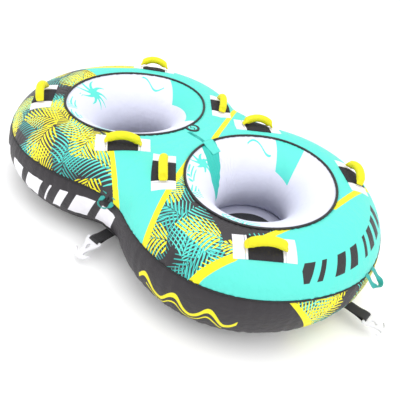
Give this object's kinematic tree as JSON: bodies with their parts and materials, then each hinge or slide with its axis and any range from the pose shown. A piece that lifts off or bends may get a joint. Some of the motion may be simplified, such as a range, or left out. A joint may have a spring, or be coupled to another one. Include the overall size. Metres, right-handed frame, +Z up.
{
  "type": "towable tube",
  "caption": "Inflatable towable tube for two seated riders: a figure-eight ring body in a sewn nylon cover with deep seat wells, arched grab handles and webbing tow points.",
  "frame": {"origin": "on the floor, midway between the two seat wells, in the plane of the flattened underside", "axes": "+Z up, +X towards the front towing end, +Y to the riders' left; the side tow point is on -Y"},
  "size_m": [1.9332, 1.1992, 0.4446],
  "materials": {
    "bladder_pvc": "heat-welded PVC film, satin",
    "printed_nylon": "dye-printed coated nylon, satin",
    "band_nylon": "coated nylon, satin",
    "bottom_nylon": "heavy coated nylon, matt",
    "liner_nylon": "dye-printed coated nylon, satin",
    "drain_mesh": "vinyl-coated mesh",
    "piping": "vinyl welt cord, satin",
    "seam_tape": "woven binding tape",
    "teal_nylon": "coated nylon, satin",
    "emblem_print": "moulded soft badge",
    "zip_tape": "woven zip tape with nylon coil",
    "zip_slider": "enamelled die casting",
    "valve_plastic": "moulded soft PVC",
    "guard_neoprene": "fabric-faced foam, matt",
    "patch_vinyl": "coated nylon, satin",
    "grip_wrap": "woven nylon over foam",
    "black_webbing": "woven nylon webbing",
    "teal_webbing": "woven nylon webbing",
    "connector_nylon": "injection-moulded nylon"
  },
  "bodies": {
    "cover": {"bladder": "bladder_pvc", "bottom_cover": "bottom_nylon", "carry_loop_tabs": "teal_webbing", "closure_flap": "teal_nylon", "emblem_badge": "emblem_print", "handle_front_left_end_pad": "guard_neoprene", "handle_front_left_end_patches": "patch_vinyl", "handle_front_left_waist_pad": "guard_neoprene", "handle_front_left_waist_patches": "patch_vinyl", "handle_front_right_end_pad": "guard_neoprene", "handle_front_right_end_patches": "patch_vinyl", "handle_front_right_waist_pad": "guard_neoprene", "handle_front_right_waist_patches": "patch_vinyl", "handle_rear_left_end_pad": "guard_neoprene", "handle_rear_left_end_patches": "patch_vinyl", "handle_rear_left_waist_pad": "guard_neoprene", "handle_rear_left_waist_patches": "patch_vinyl", "handle_rear_right_end_pad": "guard_neoprene", "handle_rear_right_end_patches": "patch_vinyl", "handle_rear_right_waist_pad": "guard_neoprene", "handle_rear_right_waist_patches": "patch_vinyl", "lower_seam_binding": "seam_tape", "rim_piping_front": "piping", "rim_piping_rear": "piping", "side_band": "band_nylon", "top_cover": "printed_nylon", "tow_patch_front": "black_webbing", "tow_patch_side": "black_webbing", "upper_seam_binding": "seam_tape", "valve_base": "valve_plastic", "well_floor_front": "drain_mesh", "well_floor_rear": "drain_mesh", "well_liner_front": "liner_nylon", "well_liner_rear": "liner_nylon", "zipper_tape": "zip_tape"},
    "handle_front_left_end": {"handle_front_left_end_grip": "grip_wrap", "handle_front_left_end_webbing": "black_webbing"},
    "handle_front_left_waist": {"handle_front_left_waist_grip": "grip_wrap", "handle_front_left_waist_webbing": "black_webbing"},
    "handle_front_right_end": {"handle_front_right_end_grip": "grip_wrap", "handle_front_right_end_webbing": "black_webbing"},
    "handle_front_right_waist": {"handle_front_right_waist_grip": "grip_wrap", "handle_front_right_waist_webbing": "black_webbing"},
    "handle_rear_left_end": {"handle_rear_left_end_grip": "grip_wrap", "handle_rear_left_end_webbing": "black_webbing"},
    "handle_rear_left_waist": {"handle_rear_left_waist_grip": "grip_wrap", "handle_rear_left_waist_webbing": "black_webbing"},
    "handle_rear_right_end": {"handle_rear_right_end_grip": "grip_wrap", "handle_rear_right_end_webbing": "black_webbing"},
    "handle_rear_right_waist": {"handle_rear_right_waist_grip": "grip_wrap", "handle_rear_right_waist_webbing": "black_webbing"},
    "tow_strap_front": {"tow_strap_front": "black_webbing"},
    "tow_connector_front": {"tow_connector_front": "connector_nylon"},
    "carry_loop_front": {"carry_loop_front": "teal_webbing"},
    "tow_strap_side": {"tow_strap_side": "black_webbing"},
    "tow_connector_side": {"tow_connector_side": "connector_nylon"},
    "carry_loop_side": {"carry_loop_side": "teal_webbing"},
    "zipper_slider": {"zipper_slider": "zip_slider"},
    "valve_plug": {"valve_plug": "valve_plastic"}
  },
  "joints": [
    {"name": "handle_front_left_end_tilt", "type": "hinge", "parent": "cover", "child": "handle_front_left_end", "pos_m": [0.60327, 0.34367, 0.40159], "axis": [-0.7193, 0.6947, 0], "range_deg": [-25, 25], "stiffness_Nm_per_rad": 0.8},
    {"name": "handle_front_left_waist_tilt", "type": "hinge", "parent": "cover", "child": "handle_front_left_waist", "pos_m": [0.11051, 0.31528, 0.405], "axis": [-0.682, -0.7314, 0], "range_deg": [-25, 25], "stiffness_Nm_per_rad": 0.8},
    {"name": "handle_front_right_end_tilt", "type": "hinge", "parent": "cover", "child": "handle_front_right_end", "pos_m": [0.60327, -0.34367, 0.40159], "axis": [0.7193, 0.6947, 0], "range_deg": [-25, 25], "stiffness_Nm_per_rad": 0.8},
    {"name": "handle_front_right_waist_tilt", "type": "hinge", "parent": "cover", "child": "handle_front_right_waist", "pos_m": [0.11051, -0.31528, 0.405], "axis": [0.682, -0.7314, 0], "range_deg": [-25, 25], "stiffness_Nm_per_rad": 0.8},
    {"name": "handle_rear_left_end_tilt", "type": "hinge", "parent": "cover", "child": "handle_rear_left_end", "pos_m": [-0.60327, 0.34367, 0.40159], "axis": [-0.7193, -0.6947, 0], "range_deg": [-25, 25], "stiffness_Nm_per_rad": 0.8},
    {"name": "handle_rear_left_waist_tilt", "type": "hinge", "parent": "cover", "child": "handle_rear_left_waist", "pos_m": [-0.11051, 0.31528, 0.405], "axis": [-0.682, 0.7314, 0], "range_deg": [-25, 25], "stiffness_Nm_per_rad": 0.8},
    {"name": "handle_rear_right_end_tilt", "type": "hinge", "parent": "cover", "child": "handle_rear_right_end", "pos_m": [-0.60327, -0.34367, 0.40159], "axis": [0.7193, -0.6947, 0], "range_deg": [-25, 25], "stiffness_Nm_per_rad": 0.8},
    {"name": "handle_rear_right_waist_tilt", "type": "hinge", "parent": "cover", "child": "handle_rear_right_waist", "pos_m": [-0.11051, -0.31528, 0.405], "axis": [0.682, 0.7314, 0], "range_deg": [-25, 25], "stiffness_Nm_per_rad": 0.8},
    {"name": "tow_strap_front_swing", "type": "hinge", "parent": "cover", "child": "tow_strap_front", "pos_m": [0.85553, 0, 0.07204], "axis": [0, -1, 0], "range_deg": [-50, 35]},
    {"name": "tow_connector_front_swing", "type": "hinge", "parent": "tow_strap_front", "child": "tow_connector_front", "pos_m": [0.95153, 0, 0.07204], "axis": [0, -1, 0], "range_deg": [-70, 70]},
    {"name": "carry_loop_front_flop", "type": "hinge", "parent": "cover", "child": "carry_loop_front", "pos_m": [0.89238, 0, 0.257], "axis": [0, -1, 0], "range_deg": [-25, 60]},
    {"name": "tow_strap_side_swing", "type": "hinge", "parent": "cover", "child": "tow_strap_side", "pos_m": [0, -0.43253, 0.07204], "axis": [-1, 0, 0], "range_deg": [-50, 35]},
    {"name": "tow_connector_side_swing", "type": "hinge", "parent": "tow_strap_side", "child": "tow_connector_side", "pos_m": [0, -0.52853, 0.07204], "axis": [-1, 0, 0], "range_deg": [-70, 70]},
    {"name": "carry_loop_side_flop", "type": "hinge", "parent": "cover", "child": "carry_loop_side", "pos_m": [0, -0.46938, 0.257], "axis": [-1, 0, 0], "range_deg": [-25, 60]},
    {"name": "zipper_slide", "type": "slide", "parent": "cover", "child": "zipper_slider", "axis": [1, 0, 0], "range_m": [0, 0.058]},
    {"name": "valve_plug_turn", "type": "hinge", "parent": "cover", "child": "valve_plug", "pos_m": [0.018, 0.06, 0.38416], "axis": [0, 0, 1], "range_deg": [0, 150]}
  ]
}
